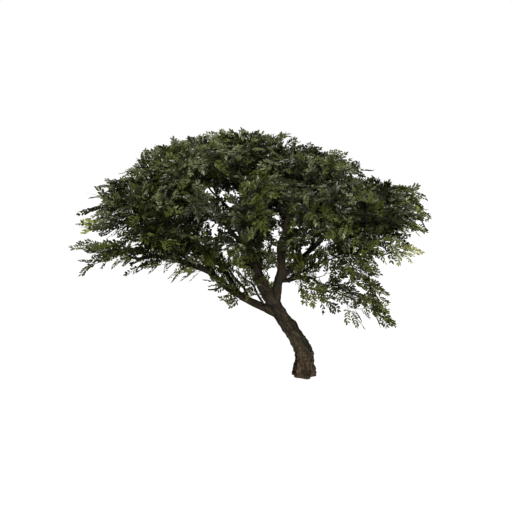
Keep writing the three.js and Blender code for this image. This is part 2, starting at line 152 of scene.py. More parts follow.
# Two rounds: branchlets as in the solids, then leafy twigs between them. spacing is how far ends lie apart.
# hollow, rim and end are the shares it grows by in the crown's middle, rim and foot, and thin end.
# margin is how far ends keep from the limits of their space.
ROUNDS = (
    {"spacing": 0.72, "margin": 0.33, "tip": 0.008, "hollow": 0.0, "rim": 0.0, "end": 0.0},
    {"spacing": 0.2, "margin": 0.2, "tip": 0.0028, "hollow": 0.9, "rim": 2.1, "end": 2.4},
)
POOL = 9000  # places tried for the ends of a mass
STUB_MESH = (24, 12)  # steps along and sides
BRANCHLET_MESH = (8, 6)
TWIG_MESH = (3, 3)

# Long leafy twigs that point out of each mass.
WHIPS = 2  # to each branchlet beyond WHIP_START
WHIP_START = -0.35  # shares of the mass's half size, along the way it points
WHIP_OUT = 1.8  # how far they follow the way the mass points, against 1 for the branchlet's own
WHIP_SPREAD = (0.8, 0.8, 0.35)  # how far they stray from there along X, Y and Z
WHIP_OVERHANG = 1.22  # how far they may reach, as for OVERHANG
WHIP_LENGTH = (0.4, 0.95)

# Short leafy shoots along the boughs.
SHOOTS = 6  # to the metre
SHOOT_START = 0.2  # a bough is bare up to this share of it
SHOOT_LENGTH = (0.2, 0.55)
SHOOT_RISE = 0.5  # how far they turn upwards, against 1 for away from it
SHOOT_RADII = (0.009, 0.0028)

# ---- Leaves ----
OUTWARD = 1.0  # how far leaves face out of the crown, against 1 for upwards
SIDEWAYS = (0.1, 1.3)  # how far each twig's leaves are rolled about it from there
TILT = 0.7  # how far each twig's leaves are turned at random from there
HANG = (-0.25, 0.15)  # how far each twig's leaves bend down from it
LEAF_STEP = 0.1  # along a twig, from leaf to leaf
BARE_SHARE = 0.12  # the share of a twig, from its root, without leaves
LEAF_LENGTH = (0.3, 0.42)
LEAF_ANGLE = (28, 50)  # between a leaf and its twig, in degrees
LEAF_STRAY = 0.12  # how far each leaf's direction strays from there
LEAF_TURN = 0.5  # how far each leaf's facing strays from its twig's
PAIRS = 5  # of leaflets on a leaf, besides the one at its end
PAIR_SPAN = (0.24, 0.72)  # where along a leaf its first pair is, and how far on its last is
LEAST_PAIR = 0.82  # the size of the smallest pairs, against 1 for the largest
PAIR_START = 0.6  # how far into the rise and fall of their sizes the first pair is, in pairs
LEAFLET_LENGTH = (0.11, 0.15)
LEAFLET_WIDTH = 0.4  # share of its length
LEAFLET_ANGLE = 48  # from the leaf's stalk, in degrees
LEAFLET_STRAY = (0.12, 0.08, 0.3)  # how far its angle, direction and facing stray
# Along a leaflet and across it, as shares of its length and half its width.
LEAFLET_OUTLINE = ((0, 0), (0.34, 1), (0.76, 0.9), (1, 0), (0.76, -0.9), (0.34, -1))
FOLD = 0.3  # how far its edges rise, as a share of half its width
# Tints of leaves: name, colour, and shares inside the crown, in its body, at its rim and foot, and on top.
# Dealt by place, they paint light and shade.
TINTS = (
    # the deep tint: dark, dealt inside the crown and over half its body as painted shade
    ("deep_painted_shade", (0.010, 0.013, 0.002), (0.9, 0.5, 0.02, 0.05)),
    ("olive", (0.040, 0.048, 0.007), (0.1, 0.36, 0.34, 0.45)),
    # the grey tint: greyer, dealt mostly on top as painted sheen
    ("grey", (0.060, 0.069, 0.028), (0.0, 0.12, 0.04, 0.5)),
    # the fresh and warm tints: light, at the rim and foot, partly fresher green, partly painted light on the
    # crown's fringes
    ("fresh_painted_light", (0.148, 0.168, 0.038), (0.0, 0.0, 0.38, 0.0)),
    ("warm", (0.142, 0.150, 0.045), (0.0, 0.0, 0.22, 0.0)),
)
TOP = (4.4, 6.0)  # heights where the top, greyer and lighter with painted sheen, begins, and is all top
INSIDE = (0.75, 0.96)  # how far out in the crown the painted shade of its inside begins to end, and ends
CROWN_EDGE = 0.985  # how far out in the crown leaves end
GAP_FRINGE = (-0.08, 0.02)  # how far leaves stop short of the gaps; under 0, they reach in
LEAF_ROUGHNESS = 0.42
LEAF_SPECULAR = 0.3
LEAF_DROP = 0.1  # how far a leaf sags at its tip, as a share of its length
STALK_RADII = (0.004, 0.002)
STALK_SIDES = 3

# ---- Bark values ----
VOXEL = 0.0155  # the skin's mesh size
SKIN_MESH = (64, 24)  # rings and sides of the tubes that it is made from
LEAST_SKIN = 0.05  # a bough of less than this radius is a plain tube
LEAST_SHARE = 0.1  # a bough with less of its length than this in the skin is left out of it
COLLAR = 0.3  # how far a bough's root swells, as a share of its radius
COLLAR_LENGTH = 1.8  # in root radii
CREST_START = 0.93  # the share of the trunk's length where it starts to round off
CREST_END = 0.98  # how far round its rounded top goes, against 1 for a point
THIN_MESH = (48, 14)
THIN_OVERLAP = 0.03  # the share of its length that lies inside the skin
SKIN_SMOOTH = (0.5, 2)  # weight and rounds of smoothing over the voxels' steps
FORK_SMOOTH = (0.6, 14)  # the same where limbs meet
FOOT_HEIGHT = 0.75 * VOXEL  # places below it lie on the flat cut at the ground
ABOVE_FOOT = 0.002  # the least height of all other places
GRAIN_STEP = 0.03  # along a limb, from centre to centre that places are measured from
GRAIN_STRETCH = 5  # the material's pattern along a limb, against 1 round it
LIMB_OFFSET = 7.3  # between the bark patterns of one limb and the next
CLEAR_OF_FORK = 0.5  # how many radii further off the next limb is from a place clear of forks
# Patterns: their size, and how far they are drawn out along a limb.
WIDE = (0.07, 3.6)
BREAKS = (0.112, 1.5)
WARP = (0.16, 2)
LUMPS = (0.1, 1)
MUSCLE = (0.16, 4)
LOBE_WARP = (0.5, 4)
FURROW_DEPTH = 0.036
FURROW_SHARE = 0.16  # of the radius, at most
FORK_FURROWS = 0.35  # the share of their depth that is left where limbs meet
RELIEF_MIDDLE = 0.35  # the height in the furrows that lies on the limb's own surface
# Plates of bark have wide and fine cracks along them, and breaks across.
WIDE_CRACK = 0.5  # cracks' widths, in heights of the noise that makes them
FINE_CRACK = 0.4
BREAK_WIDTH = 0.15
FINE_SIZE = 0.5  # against the wide cracks' pattern
FINE_SHARE = 0.4
BREAK_SHARE = 0.4
WARP_SHARE = 0.6  # how far they are warped, as a share of their pattern's size
FINE_OFFSET = 3  # to another place in the noise
BREAK_OFFSET = 5
LUMP_DEPTH = 0.022
MUSCLE_SHARE = 0.14  # of the radius
LOBE_HEIGHT = 0.36
LOBE_BEND = 3  # how far warping turns the root lobes, in radians of their wave
LOBE_UNEVEN = 1.3  # how far it raises some over others
# Bark grows old and rough up to the trunk's fork, and is younger and smooth above it. Younger bark is much
# darker, partly its own colour and partly painted shade under the crown.
OLD_BARK = (1.0, 0.3)  # shares of the trunk's length where it is all young, and all old
BOUGH_AGE = 0.3
BOUGH_AGE_RADII = (0.05, 0.16)  # radii where its bark is all young, and as old as it gets
YOUNG_DEPTH = 0.3  # of its furrows, as a share of old bark's
# Old branch scars and swellings: height, azimuth, size and how far they stand out.
KNOBS = (
    (1.92, -15, 0.075, 0.035),
    (1.5, 5, 0.085, 0.05),
    (1.34, 186, 0.05, 0.022),
    (1.02, 172, 0.06, 0.02),
    (0.2, 165, 0.08, 0.012),
    (0.06, -85, 0.12, 0.09),
    (1.15, 70, 0.08, 0.03),
    (0.75, -40, 0.06, 0.018),
)
BARK_PLATE = (0.138, 0.111, 0.075)
BARK_CRACK = (0.046, 0.036, 0.025)
# the young bark's colours, much darker than old bark's: partly their own colour, partly painted shade under
# the crown
SHADED_YOUNG_PLATE = (0.034, 0.030, 0.022)
SHADED_YOUNG_CRACK = (0.017, 0.0145, 0.0105)
RELIEF_COLOURED = (0.1, 0.75)  # heights where the cracks' colour ends, and the plates' begins
FIBRE_RANGE = (0.3, 0.7)  # the part of the fibres' noise that shades the bark
PATCH_TONES = ((0.78, 0.86, 0.8), (1.14, 0.98, 0.9))  # what patches multiply the bark's colour by
PATCH_RANGE = (0.38, 0.62)

# ---- Stage values ----
CAMERA_TARGET = Vector((-1.37, 0, 3.43))
CAMERA_DISTANCE = 19.8
CAMERA_ELEVATION = 8
CAMERA_FAR = 200  # nothing beyond this shows
LENS = 50
FLOOR_HALF = 120
# name, azimuth and elevation that the light comes from, how wide it is in degrees, strength and colour
LIGHTS = (
    ("key", -84, 56, 8, 5.8, (1.0, 0.98, 0.93)),
    ("dome", 0, 90, 140, 0.85, (0.96, 1.0, 0.93)),
    ("fill", -84, -22, 30, 2.3, (1.0, 0.99, 0.96)),
    ("back", 85, 20, 60, 1.5, (1.0, 0.99, 0.96)),
)


# ---- Curves ----
def unit(v):
    return v / np.maximum(np.linalg.norm(v, axis=-1, keepdims=True), 1e-9)


def heading(azimuth, rise):
    a, e = math.radians(azimuth), math.radians(rise)
    return np.array((math.cos(a) * math.cos(e), math.sin(a) * math.cos(e), math.sin(e)))


def smoothstep(x, low, high):
    t = np.clip((x - low) / (high - low), 0, 1)
    return t * t * (3 - 2 * t)


class Line:
    """A curve through close points, read by a share of its length."""

    def __init__(self, points):
        self.points = points
        steps = np.linalg.norm(np.diff(points, axis=0), axis=1)
        self.far = np.concatenate(((0,), np.cumsum(steps)))
        self.length = self.far[-1]

    def at(self, share):
        far = np.asarray(share) * self.length
        return np.stack([np.interp(far, self.far, self.points[:, i]) for i in range(3)], axis=-1)

    def direction(self, share):
        share = np.clip(share, SHORT_STEP, 1 - SHORT_STEP)
        return unit(self.at(share + SHORT_STEP) - self.at(share - SHORT_STEP))


def bezier(points, t):
    """Points of a Bezier curve of any degree. points may hold many curves at once."""
    degree = len(points) - 1
    return sum(math.comb(degree, i) * (1 - t) ** (degree - i) * t**i * p for i, p in enumerate(points))


def trunk_line():
    t = np.linspace(0, 1, CURVE_POINTS)
    bow = np.sin(math.pi * smoothstep(t, SWAY_START, 1)) ** 2
    lean = smoothstep(t, LEAN_START, 1)
    return Line(np.stack((-TRUNK_LEAN * lean, -TRUNK_SWAY * bow, TRUNK_HEIGHT * t), axis=1))


class Trunk:
    name = "trunk"
    line = trunk_line()


class Limb:
    """A bough and the mass of foliage at its tip."""

    def __init__(self, row, limbs):
        self.name, on, at, self.radius, rise, azimuth, reach, level, across, thick, slope = row
        ahead, over = heading(azimuth, slope), heading(azimuth, slope + 90)
        self.axes = np.array((ahead, np.cross(over, ahead), over))
        self.size = np.array((across, across, thick))
        around = math.radians(azimuth)
        aside = CROWN_HALF * np.array((math.cos(around), math.sin(around))) * reach
        self.middle = np.array((*(CROWN_MIDDLE[:2] + aside), TREE_HEIGHT * level))
        start = limbs[on].line.at(at)
        way = self.middle - start
        in_mass = self.share(way)
        self.tip = self.middle - way * ENTERS_AT / max(in_mass, 1)
        towards = math.degrees(math.atan2(way[1], way[0]))
        handle = np.linalg.norm(self.tip - start) * BOUGH_HANDLE
        leaving = start + heading(towards, rise[0]) * handle
        entering = self.tip - heading(towards, rise[1]) * handle
        t = np.linspace(0, 1, CURVE_POINTS)[:, None]
        self.line = Line(bezier((start, leaving, entering, self.tip), t) + self.wobble(start, t))
        self.tip_radius = max(self.radius * BOUGH_TIP_SHARE, LEAST_TIP)

    def wobble(self, start, t):
        turn = t * np.linalg.norm(self.tip - start) * 2 * math.pi / WOBBLE_LENGTH
        phases = self.middle @ np.array(WOBBLE_PHASES).T
        return WOBBLE * np.sin(math.pi * t) * np.sin(turn * WOBBLE_PACES + phases)

    def share(self, way):
        """How far out in the mass ways from its middle reach: 1 on its surface."""
        return np.linalg.norm(way @ self.axes.T / self.size, axis=-1)


def grow_limbs():
    limbs = {"trunk": Trunk}
    for row in LIMBS:
        limbs[row[0]] = Limb(row, limbs)
    return limbs


# ---- Spaces ----
def crown_share(p):
    """How far out in the crown points lie: 0 at its middle, 1 on its surface."""
    d = p - CROWN_MIDDLE
    height = np.where(d[..., 2] < 0, CROWN_DROOP, CROWN_RISE)
    across = (d[..., 0] / CROWN_HALF[0]) ** 2 + (d[..., 1] / CROWN_HALF[1]) ** 2
    return np.sqrt(across + (d[..., 2] / height) ** 2)


def rim_share(p):
    """1 for points at the ends of the crown's length or at its foot, 0 for those in its body."""
    rim = smoothstep(np.abs(p[:, 0] - CROWN_MIDDLE[0]) / CROWN_HALF[0], *RIM)
    return np.maximum(rim, 1 - smoothstep(p[:, 2], *FOOT))


def end_share(p):
    """1 for points in the crown's low end at -X, 0 for those well off it."""
    out = smoothstep(CROWN_MIDDLE[0] - p[:, 0], *END)
    return out * (1 - smoothstep(p[:, 2], *END_TOP))


def off_gaps(p, margin):
    level = p[..., 2] + GAP_FALL * p[..., 1]
    aside = np.hypot(p[..., None, 0] - GAPS[:, 0], level[..., None] - GAPS[:, 1])
    return np.all(aside > GAPS[:, 2] + margin, axis=-1)


class Space:
    """What a mass may fill: its flattened ball, on its own side of the planes between it and its neighbours,
    inside the crown's surface and out of the gaps."""

    def __init__(self, limb, masses):
        self.limb = limb
        normals, limits = [], []
        for other in masses:
            if other is limb:
                continue
            way = other.middle - limb.middle
            normal = unit(way)
            mine, theirs = 1 / limb.share(normal), 1 / other.share(normal)
            normals.append(normal)
            limits.append(np.linalg.norm(way) * mine / (mine + theirs))
        self.normals = np.array(normals)
        self.limits = np.array(limits)

    def holds(self, p, margin):
        d = p - self.limb.middle
        in_ball = self.limb.share(d) < OVERHANG * (1 - margin / self.limb.size[0])
        height = np.where(p[..., 2] < CROWN_MIDDLE[2], CROWN_DROOP, CROWN_RISE)
        in_crown = crown_share(p) < 1 - margin / height
        in_walls = np.all(d @ self.normals.T < self.limits - margin, axis=-1)
        return in_ball & in_crown & in_walls & off_gaps(p, margin)


def scatter(space, taken, rule, rng):
    """Ends for twigs, each at the place with the most room left, until the room is under the spacing.
    They lie further apart in the shaded middle of the crown, at its rim and foot, and at its thin end."""
    limb = space.limb
    pool = limb.middle + rng.uniform(-OVERHANG, OVERHANG, (POOL, 3)) * limb.size @ limb.axes
    pool = pool[space.holds(pool, rule["margin"])]
    if not len(pool):
        return pool
    spacing = rule["spacing"] * (1 + rule["hollow"] * np.clip(1 - crown_share(pool), 0, 1))
    spacing = spacing * (1 + rule["rim"] * rim_share(pool) + rule["end"] * end_share(pool))
    room = np.min(np.linalg.norm(pool[:, None] - taken[None], axis=-1), axis=1) / spacing
    ends = []
    while room.max() > 1:
        best = int(room.argmax())
        ends.append(pool[best])
        room = np.minimum(room, np.linalg.norm(pool - pool[best], axis=1) / spacing)
    return np.array(ends).reshape(-1, 3)


# ---- Twigs ----
# limb is the bough whose mass a twig keeps its leaves in, or None for a shoot outside the masses.
Twig = namedtuple("Twig", "start bend end root tip level limb")


class Twigs:
    """The twigs of a mass, and the forks where another can start."""

    def __init__(self, limb):
        self.limb = limb
        self.rows = []
        self.forks = []  # place, direction, radius, way back to the stem's root

    def add(self, fork, end, root, tip, level):
        at, direction, _, way = fork
        far = np.linalg.norm(end - at)
        bend = at + direction * far * BEND
        self.rows.append(Twig(at, bend, end, root, tip, level, self.limb))
        for share in FORKS:
            a, b = at + (bend - at) * share, bend + (end - bend) * share
            here = a + (b - a) * share
            self.forks.append((here, unit(b - a), root + (tip - root) * share, way + far * share))


def join(twigs, ends, space, rule, level):
    """Joins each end to the fork that costs least to reach, the cheapest first. A twig that would leave the
    mass's space is left out."""
    count = len(ends)
    cost = np.full((count, len(twigs.forks) + len(FORKS) * count), np.inf)
    waiting = np.ones(count, bool)
    seen = 0
    for _ in range(count):
        for place in range(seen, len(twigs.forks)):
            at, _, _, back = twigs.forks[place]
            cost[waiting, place] = np.linalg.norm(ends[waiting] - at, axis=1) + LENGTH_OF_WAY * back
        seen = len(twigs.forks)
        end, place = np.unravel_index(cost.argmin(), cost.shape)
        cost[end], cost[:, place] = np.inf, np.inf
        waiting[end] = False
        fork = twigs.forks[place]
        way = ends[end] - fork[0]
        halfway = fork[0] + way / 2 + fork[1] * BULGE * np.linalg.norm(way)
        if not space.holds(halfway, 0):
            continue
        twigs.add(fork, ends[end], max(fork[2] * ROOT_SHARE, rule["tip"]), rule["tip"], level)


def grow_mass(limb, masses, rng):
    space = Space(limb, masses)
    twigs = Twigs(limb)
    outward = limb.line.direction(1)
    heart = limb.middle + (limb.middle - limb.tip) * STEM_REACH
    root = limb.tip_radius * STEM_SHARE
    twigs.add((limb.tip, outward, root, 0.0), heart, root, ROUNDS[0]["tip"], 0)
    ends = limb.tip[None]
    for level, rule in enumerate(ROUNDS):
        found = scatter(space, ends, rule, rng)
        join(twigs, found, space, rule, level + 1)
        ends = np.concatenate((ends, found))
    return twigs


def grow_whips(twigs, rng):
    """Long leafy twigs that carry the outer branchlets on, along the way the mass points."""
    limb = twigs.limb
    start = limb.size[0] * WHIP_START
    rows = []
    ends = [row for row in twigs.rows if row.level == 1 and (row.end - limb.middle) @ limb.axes[0] > start]
    for row in ends * WHIPS:
        out = limb.axes[0] * WHIP_OUT
        ahead = unit(unit(row.end - row.bend) + out + WHIP_SPREAD * rng.uniform(-1, 1, 3))
        length = rng.uniform(*WHIP_LENGTH)
        bend = row.end + ahead * length / 2
        end = bend + unit(ahead + out) * length / 2
        if limb.share(end - limb.middle) < WHIP_OVERHANG and off_gaps(end, 0) and crown_share(end) < 1:
            rows.append(Twig(row.end, bend, end, row.tip, ROUNDS[-1]["tip"], len(ROUNDS), None))
    return rows


def grow_shoots(limb, rng):
    """Short leafy shoots that leave a bough at its sides, outside the gaps."""
    rows = []
    for share in rng.uniform(SHOOT_START, 1, int(limb.line.length * SHOOTS)):
        ahead = limb.line.direction(share)
        away = unit(unit(np.cross(ahead, rng.normal(size=3))) + UP * SHOOT_RISE)
        start = limb.line.at(share) + away * limb.tip_radius
        length = rng.uniform(*SHOOT_LENGTH)
        bend = start + away * length / 2
        end = bend + unit(away + ahead + UP * SHOOT_RISE) * length / 2
        if off_gaps(end, 0) and crown_share(end) < 1:
            rows.append(Twig(start, bend, end, *SHOOT_RADII, len(ROUNDS), None))
    return rows


# ---- Meshes ----
def mesh_object(name, vertices, faces, material, smooth):
    """A joined mesh. faces is one or more arrays of corner numbers, each with faces of one size."""
    faces = [f for f in faces if len(f)]
    mesh = bpy.data.meshes.new(name)
    mesh.vertices.add(len(vertices))
    mesh.vertices.foreach_set("co", np.ascontiguousarray(vertices, np.float32).ravel())
    corners = np.concatenate([f.ravel() for f in faces]).astype(np.int32)
    sizes = np.concatenate([np.full(len(f), f.shape[1]) for f in faces])
    mesh.loops.add(len(corners))
    mesh.loops.foreach_set("vertex_index", corners)
    mesh.polygons.add(len(sizes))
    mesh.polygons.foreach_set("loop_start", (np.cumsum(sizes) - sizes).astype(np.int32))
    mesh.polygons.foreach_set("use_smooth", np.full(len(sizes), smooth))
    mesh.update(calc_edges=True)
    mesh.validate()
    if material:
        mesh.materials.append(material)
    made = bpy.data.objects.new(name, mesh)
    bpy.context.scene.collection.objects.link(made)
    return made


def frames_along(centres):
    """For centres (tubes, rings, 3): the directions of the rings and two directions across them."""
    ahead = unit(np.gradient(centres, axis=1))
    whole = unit(centres[:, -1] - centres[:, 0])
    least = np.abs(whole).argmin(axis=1)
    reference = np.eye(3)[least][:, None]
    side = unit(np.cross(ahead, reference))
    return ahead, side, np.cross(ahead, side)


def tubes(centres, radii, sides):
    """Tubes with closed ends round centres (tubes, rings, 3) with radii (tubes, rings)."""
    count, rings = radii.shape
    _, side, over = frames_along(centres)
    angle = np.arange(sides) * 2 * math.pi / sides
    around = np.cos(angle)[:, None] * side[:, :, None] + np.sin(angle)[:, None] * over[:, :, None]
    vertices = centres[:, :, None] + around * radii[:, :, None, None]
    number = np.arange(count * rings * sides).reshape(count, rings, sides)
    near, far = number[:, :-1], number[:, 1:]
    quads = np.stack((near, np.roll(near, -1, 2), np.roll(far, -1, 2), far), axis=-1).reshape(-1, 4)
    caps = np.concatenate((number[:, 0, ::-1], number[:, -1]))
    return vertices.reshape(-1, 3), quads, caps


# ---- Leaves ----
def leaf_places(rows, rng):
    """Where leaves sit: arrays of place, direction, facing, size and spray, alternate along each twig."""
    made = []
    for spray, (at, bend, end, _, _, level, limb) in enumerate(rows):
        if level == 0:
            continue
        length = np.linalg.norm(end - at)
        out = (end - CROWN_MIDDLE) / (*CROWN_HALF, CROWN_RISE)
        roll = unit(np.cross(UP, end - at)) * rng.uniform(*SIDEWAYS) * rng.choice((-1, 1))
        facing = unit(unit(out) * OUTWARD + UP + roll + rng.uniform(-1, 1, 3) * TILT)
        hang = rng.uniform(*HANG)
        shares = np.arange(1, BARE_SHARE, -LEAF_STEP / length)
        turn = 0
        for share in shares:
            a, b = at + (bend - at) * share, bend + (end - bend) * share
            here, ahead = a + (b - a) * share, unit(b - a)
            aside = unit(np.cross(facing, ahead))
            angle = math.radians(turn * rng.uniform(*LEAF_ANGLE))
            direction = ahead * math.cos(angle) + aside * math.sin(angle)
            direction = unit(direction + rng.uniform(-1, 1, 3) * LEAF_STRAY - UP * hang)
            face = unit(facing + rng.uniform(-1, 1, 3) * LEAF_TURN)
            long = rng.uniform(*LEAF_LENGTH)
            turn = -turn if turn else rng.choice((-1, 1))
            tip = here + direction * long
            in_mass = limb is None or limb.share(tip - limb.middle) < OVERHANG
            if in_mass and crown_share(tip) < CROWN_EDGE and off_gaps(tip, rng.uniform(*GAP_FRINGE)):
                made.append((here, direction, face, long, spray))
    return [np.array(column) for column in zip(*made)]


def leaflets(place, direction, facing, length, rng):
    """Vertices (leaves, leaflets, corners, 3): each leaflet is two halves folded along its middle."""
    pair = np.arange(PAIRS)
    pair_along = PAIR_SPAN[0] + PAIR_SPAN[1] * pair / (PAIRS - 1)
    pair_size = LEAST_PAIR + (1 - LEAST_PAIR) * np.sin(math.pi * (pair + PAIR_START) / PAIRS)
    along = np.concatenate((np.repeat(pair_along, 2), (1.0,)))
    size = np.concatenate((np.repeat(pair_size, 2), (1.0,)))
    turn = np.concatenate((np.tile((1.0, -1.0), PAIRS), (0.0,)))
    count, many = len(place), len(along)
    angle_stray, direction_stray, facing_stray = LEAFLET_STRAY
    side = unit(np.cross(facing, direction))
    over = np.cross(direction, side)
    drop = -UP * (length * LEAF_DROP)[:, None]
    root = (
        place[:, None]
        + direction[:, None] * (length[:, None] * along)[..., None]
        + drop[:, None] * (along**2)[:, None]
    )
    angle = np.radians(LEAFLET_ANGLE) * turn + rng.normal(0, angle_stray, (count, many))
    ahead = direction[:, None] * np.cos(angle)[..., None] + side[:, None] * np.sin(angle)[..., None]
    ahead = unit(ahead + rng.normal(0, direction_stray, (count, many, 3)))
    normal = over[:, None] + rng.normal(0, facing_stray, (count, many, 3))
    across = unit(np.cross(normal, ahead))
    normal = np.cross(ahead, across)
    long = rng.uniform(*LEAFLET_LENGTH, (count, many)) * size
    half = long * LEAFLET_WIDTH / 2
    points = [
        root
        + ahead * (long * x)[..., None]
        + across * (half * y)[..., None]
        + normal * (half * abs(y) * FOLD)[..., None]
        for x, y in LEAFLET_OUTLINE
    ]
    return np.stack(points, axis=2)


def leaflet_faces(vertex_count):
    """Two faces for each leaflet, one on each side of its middle."""
    first = np.arange(0, vertex_count, len(LEAFLET_OUTLINE))[:, None]
    return np.concatenate((first + (0, 3, 2, 1), first + (0, 5, 4, 3)))


# ---- Materials ----
def plain_material(name, colour, roughness, **sockets):
    material = bpy.data.materials.new(name)
    material.use_nodes = True
    shader = material.node_tree.nodes["Principled BSDF"]
    shader.inputs["Base Color"].default_value = (*colour, 1)
    shader.inputs["Roughness"].default_value = roughness
    for socket, value in sockets.items():
        shader.inputs[socket.replace("_", " ")].default_value = value
    return material


MIX_SOCKETS = (0, 6, 7)  # a Mix node's factor and two colours
MIX_RESULT = 2


def grey(value):
    return (value,) * 3


class Nodes:
    """Adds nodes to a material and links them."""

    def __init__(self, material):
        self.tree = material.node_tree
        self.shader = self.tree.nodes["Principled BSDF"]

    def plug(self, socket, value):
        if isinstance(value, bpy.types.NodeSocket):
            self.tree.links.new(value, socket)
        else:
            socket.default_value = value

    def add(self, kind, **inputs):
        node = self.tree.nodes.new(kind)
        for name, value in inputs.items():
            self.plug(node.inputs[name], value)
        return node

    def attribute(self, name, output):
        node = self.add("ShaderNodeAttribute")
        node.attribute_name = name
        return node.outputs[output]

    def noise(self, place, scale, detail):
        return self.add("ShaderNodeTexNoise", Vector=place, Scale=scale, Detail=detail).outputs["Fac"]

    def ramp(self, value, low, high, start, end):
        """From colour low, up to start, to colour high, from end on."""
        node = self.add("ShaderNodeValToRGB", Fac=value)
        for element, at, colour in zip(node.color_ramp.elements, (start, end), (low, high)):
            element.position = at
            element.color = (*colour, 1)
        return node.outputs["Color"]

    def mix(self, blend, factor, one, other):
        node = self.add("ShaderNodeMix")
        node.data_type = "RGBA"
        node.blend_type = blend
        for i, value in zip(MIX_SOCKETS, (factor, one, other)):
            self.plug(node.inputs[i], value)
        return node.outputs[MIX_RESULT]

    def shade(self, socket, value):
        self.tree.links.new(value, self.shader.inputs[socket])

    def bump(self, height, strength, distance):
        node = self.add("ShaderNodeBump", Height=height, Strength=strength, Distance=distance)
        self.shade("Normal", node.outputs["Normal"])


def bark_material():
    """Furrowed bark: dark in its cracks, grey-brown on its plates, greyer, smoother and much darker on thin
    boughs and the upper trunk, that darkness partly painted shade under the crown.
    """
    material = plain_material("bark", BARK_PLATE, 0.9, Specular_IOR_Level=0.15)
    nodes = Nodes(material)
    grain = nodes.attribute("grain", "Vector")
    fibres = nodes.noise(grain, scale=60.0, detail=5.0)
    patches = nodes.noise(grain, scale=5.0, detail=3.0)
    relief = nodes.attribute("relief", "Fac")
    old = nodes.ramp(relief, BARK_CRACK, BARK_PLATE, *RELIEF_COLOURED)
    young_shaded = nodes.ramp(relief, SHADED_YOUNG_CRACK, SHADED_YOUNG_PLATE, *RELIEF_COLOURED)
    # the younger colours, much darker, cover the upper trunk and the boughs: partly painted shade under the
    # crown
    colour = nodes.mix("MIX", nodes.attribute("age_and_shade", "Fac"), young_shaded, old)
    shading = nodes.ramp(fibres, grey(0.6), grey(1.15), *FIBRE_RANGE)
    colour = nodes.mix("MULTIPLY", 1.0, colour, shading)
    shading = nodes.ramp(patches, *PATCH_TONES, *PATCH_RANGE)
    colour = nodes.mix("MULTIPLY", 1.0, colour, shading)
    nodes.shade("Base Color", colour)
    nodes.shade("Roughness", nodes.ramp(fibres, grey(0.95), grey(0.78), *FIBRE_RANGE))
    nodes.bump(fibres, strength=0.7, distance=0.008)
    return material


def twig_material():
    """Smooth young bark, mottled, in the young bark's dark colours, partly painted shade under the crown."""
    material = plain_material("twig_bark", SHADED_YOUNG_PLATE, 0.85, Specular_IOR_Level=0.15)
    nodes = Nodes(material)
    place = nodes.add("ShaderNodeTexCoord").outputs["Object"]
    mottle = nodes.noise(place, scale=14.0, detail=4.0)
    nodes.shade("Base Color", nodes.ramp(mottle, SHADED_YOUNG_CRACK, SHADED_YOUNG_PLATE, start=0.35, end=0.65))
    nodes.bump(mottle, strength=0.4, distance=0.004)
    return material


# ---- Foliage pieces ----
def dress(piece, cad_nodes):
    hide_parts(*cad_nodes)
    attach(piece, "root")


def tints_of(place, spray, rng):
    """Deals a tint to every spray, by where it is in the crown, and gives each leaf its spray's. This paints
    light and shade: darker inside, lighter at the rim and foot, greyer sheen on top.
    """
    _, first, spray_of = np.unique(spray, return_index=True, return_inverse=True)
    at = place[first]
    high = smoothstep(at[:, 2], *TOP)
    # the rim and foot, whose lighter tints are partly painted light
    rim = rim_share(at) * (1 - high)
    # the top, whose greyer, lighter tints are painted sheen
    top = high * (1 - rim)
    # the crown's inside, which gets the dark tint as painted shade
    inside = (1 - rim - top) * (1 - smoothstep(crown_share(at), *INSIDE))
    shares = np.array([share for _, _, share in TINTS])
    chances = np.stack((inside, 1 - rim - top - inside, rim, top), axis=1) @ shares.T
    below = np.cumsum(chances, axis=1) / chances.sum(axis=1, keepdims=True)
    dealt = (rng.random((len(at), 1)) > below).sum(axis=1)
    return dealt[spray_of]


def add_leaves(places, rng, cad_nodes):
    place, direction, facing, length, spray = places
    tint_of = tints_of(place, spray, rng)
    for i, (name, colour, _) in enumerate(TINTS):
        mine = tint_of == i
        points = leaflets(place[mine], direction[mine], facing[mine], length[mine], rng).reshape(-1, 3)
        material = plain_material("leaf_" + name, colour, LEAF_ROUGHNESS, Specular_IOR_Level=LEAF_SPECULAR)
        piece = mesh_object("leaves_" + name, points, [leaflet_faces(len(points))], material, False)
        dress(piece, cad_nodes)


def add_stalks(places, cad_nodes, material):
    place, direction, _, length, _ = places
    along = np.array((0, 1))
    centres = place[:, None] + direction[:, None] * (length[:, None] * along)[..., None]
    centres = centres - UP * ((length * LEAF_DROP)[:, None] * along**2)[..., None]
    radii = np.broadcast_to(np.array(STALK_RADII), centres.shape[:2])
    vertices, quads, _ = tubes(centres, radii, STALK_SIDES)
    dress(mesh_object("leaf_stalks", vertices, [quads], material, True), cad_nodes)


def add_twigs(name, rows, steps, sides, slot, cad_nodes, material):
    """A tapering tube for each twig, all in one mesh."""
    start, bend, end, root, tip = [np.array(column) for column in list(zip(*rows))[:5]]
    t = np.linspace(0, 1, steps + 1)
    centres = bezier((start[:, None], bend[:, None], end[:, None]), t[:, None])
    radii = root[:, None] + (tip - root)[:, None] * t
    vertices, quads, caps = tubes(centres, radii, sides)
    dress(mesh_object(name, vertices, [quads, caps], material, True), cad_nodes)


